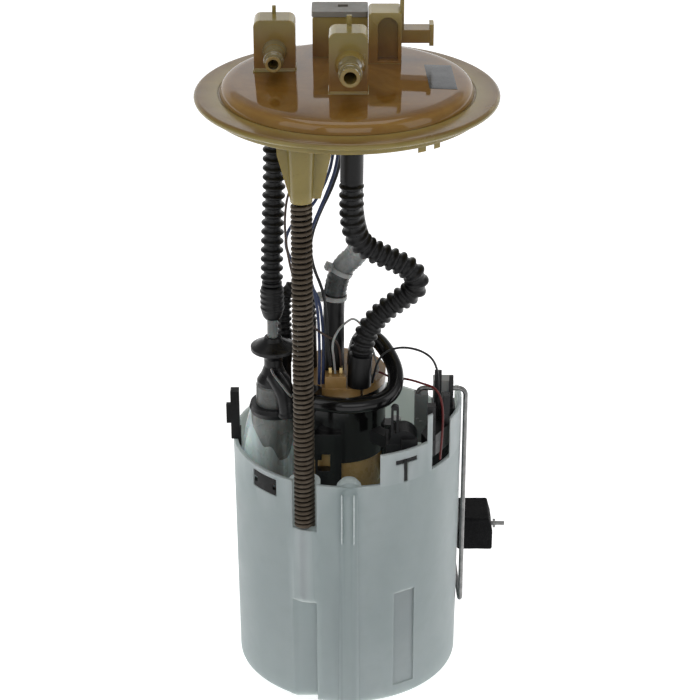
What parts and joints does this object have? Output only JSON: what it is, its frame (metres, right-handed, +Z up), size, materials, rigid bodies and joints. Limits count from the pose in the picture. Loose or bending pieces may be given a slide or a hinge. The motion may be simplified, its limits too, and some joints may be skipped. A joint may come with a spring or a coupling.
{
  "type": "fuel pump module",
  "caption": "In-tank fuel pump module: amber flange on a sprung guide rod over a white reservoir can, with hoses, wiring and a level sender float.",
  "frame": {"origin": "centre of the reservoir can's flat underside", "axes": "+Z up through the can and the flange, +X towards the float, -Y towards the guide rod and the hose nipples"},
  "size_m": [0.1665, 0.152, 0.3702],
  "materials": {
    "can_plastic": "translucent milky white moulding",
    "amber_plastic": "glossy amber moulding",
    "black_plastic": "black moulding",
    "grey_plastic": "light grey moulding",
    "clear_plastic": "natural translucent moulding",
    "hose_rubber": "black ribbed hose",
    "foam": "black foamed rubber",
    "steel": "bright steel",
    "spring_steel": "oiled brown spring steel",
    "brass": "brass",
    "copper": "copper bars",
    "magnet": "dark ferrite",
    "paper": "pleated filter paper",
    "wire_blue": "blue insulation",
    "wire_black": "black insulation",
    "wire_brown": "brown insulation",
    "wire_red": "red insulation",
    "white_nylon": "white nylon"
  },
  "bodies": {
    "reservoir": {"brush_springs": "steel", "brushes": "copper", "cable_ties": "white_nylon", "can_latches": "black_plastic", "filter_case": "amber_plastic", "filter_element": "paper", "filter_lid": "amber_plastic", "hose_left": "hose_rubber", "hose_left_cuff": "hose_rubber", "hose_loop": "hose_rubber", "hose_right": "hose_rubber", "hose_third": "hose_rubber", "hose_tied": "hose_rubber", "inlet_strainer": "steel", "inlet_valve_cage": "clear_plastic", "jet_pump": "black_plastic", "outlet_valve_spring": "steel", "pressure_regulator": "steel", "pump_holder": "black_plastic", "pump_inlet_cover": "steel", "pump_isolator": "foam", "pump_magnets": "magnet", "pump_outlet_cap": "black_plastic", "pump_plate": "steel", "pump_shell": "steel", "pump_terminals": "brass", "reservoir_can": "can_plastic", "resistor_card": "white_nylon", "rod_spring": "spring_steel", "sender_bearing": "grey_plastic", "sender_housing": "black_plastic", "side_bracket": "black_plastic", "valve_body": "white_nylon", "valve_collar": "black_plastic", "valve_disc": "black_plastic", "valve_funnel": "clear_plastic", "valve_ring": "black_plastic", "valve_tube": "clear_plastic", "wire_black": "wire_black", "wire_brown": "wire_brown", "wire_sender_black": "wire_black", "wire_sender_red": "wire_red", "wire_white": "white_nylon", "wires_blue": "wire_blue"},
    "flange": {"flange": "amber_plastic", "connector_cap": "grey_plastic", "connector_pins": "brass", "guide_rod": "steel"},
    "float_arm": {"float_arm": "steel", "wiper_carrier": "clear_plastic", "float_stop": "steel"},
    "float": {"float": "foam"},
    "pump_rotor": {"armature_shaft": "steel", "armature_core": "magnet", "commutator": "copper", "impeller": "black_plastic"},
    "inlet_valve": {"inlet_valve": "foam"},
    "outlet_valve": {"outlet_valve": "white_nylon"}
  },
  "joints": [
    {"name": "flange_slide", "type": "slide", "parent": "reservoir", "child": "flange", "axis": [0, 0, 1], "range_m": [-0.03, 0], "stiffness_N_per_m": 600, "springref_m": 0.05, "deforming": ["rod_spring", "hose_right", "hose_left", "hose_tied", "wires_blue", "wire_black", "wire_brown"]},
    {"name": "float_arm_pivot", "type": "hinge", "parent": "reservoir", "child": "float_arm", "pos_m": [0.05, -0.008, 0.165], "axis": [1, 0, 0], "range_deg": [0, 62]},
    {"name": "float_spin", "type": "hinge", "parent": "float_arm", "child": "float", "pos_m": [0.075, 0.05, 0.0468], "axis": [1, 0, 0], "continuous": true},
    {"name": "pump_spin", "type": "hinge", "parent": "reservoir", "child": "pump_rotor", "pos_m": [-0.004, 0.003, 0.075], "axis": [0, 0, 1], "continuous": true},
    {"name": "inlet_valve_lift", "type": "slide", "parent": "reservoir", "child": "inlet_valve", "axis": [0, 0, 1], "range_m": [0, 0.0025]},
    {"name": "outlet_valve_lift", "type": "slide", "parent": "reservoir", "child": "outlet_valve", "axis": [0, 0, 1], "range_m": [0, 0.0025], "stiffness_N_per_m": 80, "springref_m": -0.003, "deforming": ["outlet_valve_spring"]}
  ]
}
